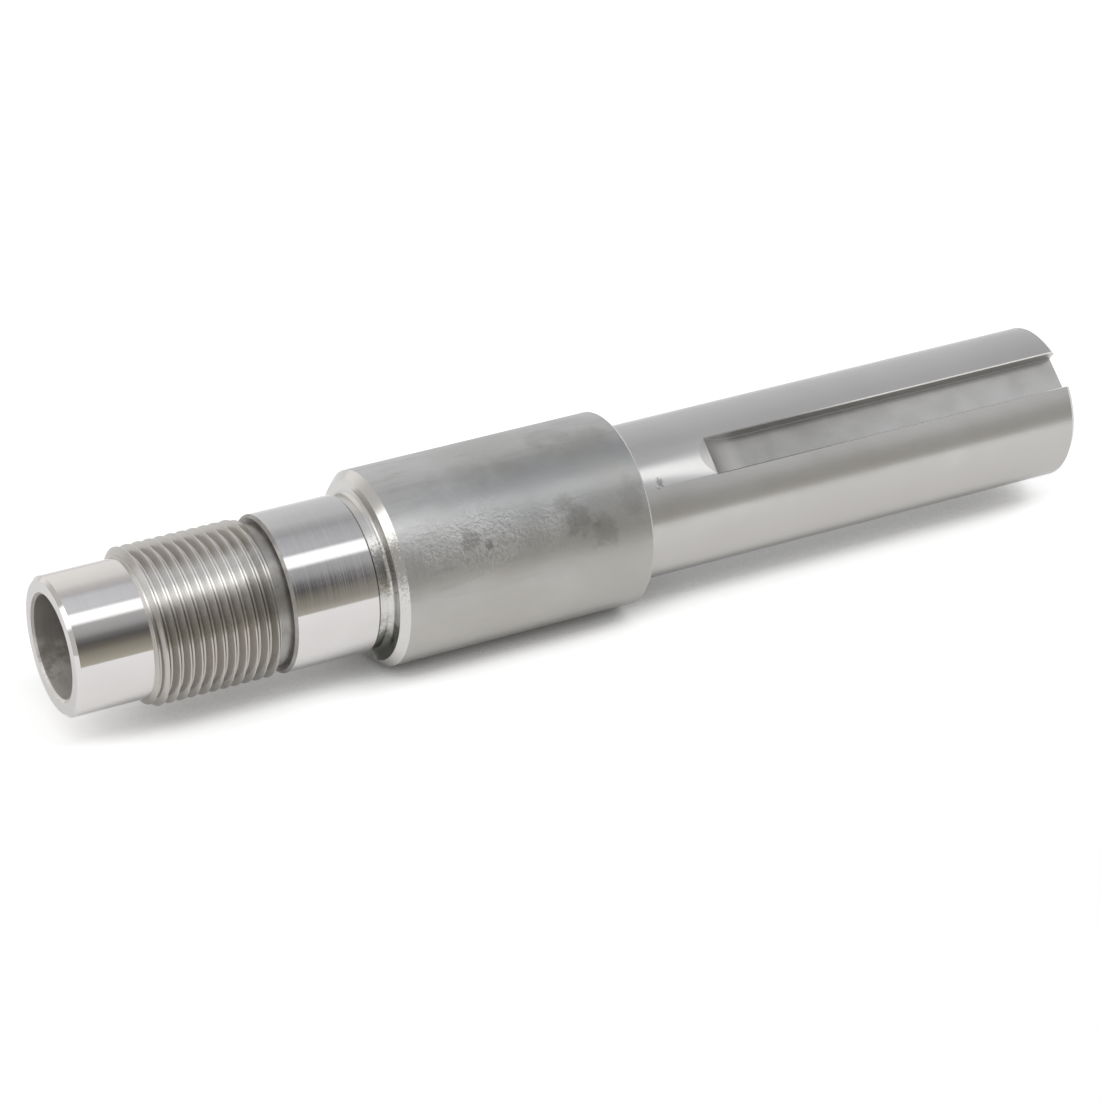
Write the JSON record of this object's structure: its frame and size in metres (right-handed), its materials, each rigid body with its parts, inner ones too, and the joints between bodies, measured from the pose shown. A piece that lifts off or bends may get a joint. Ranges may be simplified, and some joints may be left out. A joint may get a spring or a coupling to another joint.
{
  "type": "spindle shaft",
  "caption": "Turned steel spindle shaft with a bored nose, outside thread, ground journal, collar and keyed drive end.",
  "frame": {"origin": "centre of the drive end's flat face, which the shaft stands on", "axes": "+Z along the shaft's axis, from the drive end to the bored nose; the keyway faces -Y; +X completes a right-handed frame"},
  "size_m": [0.0318, 0.0318, 0.1778],
  "materials": {
    "ground_steel": "ground and polished on the nose and journal, satin on the drive, mill-finished and mottled on the collar"
  },
  "bodies": {
    "root": {"spindle_shaft": "ground_steel"}
  },
  "joints": []
}
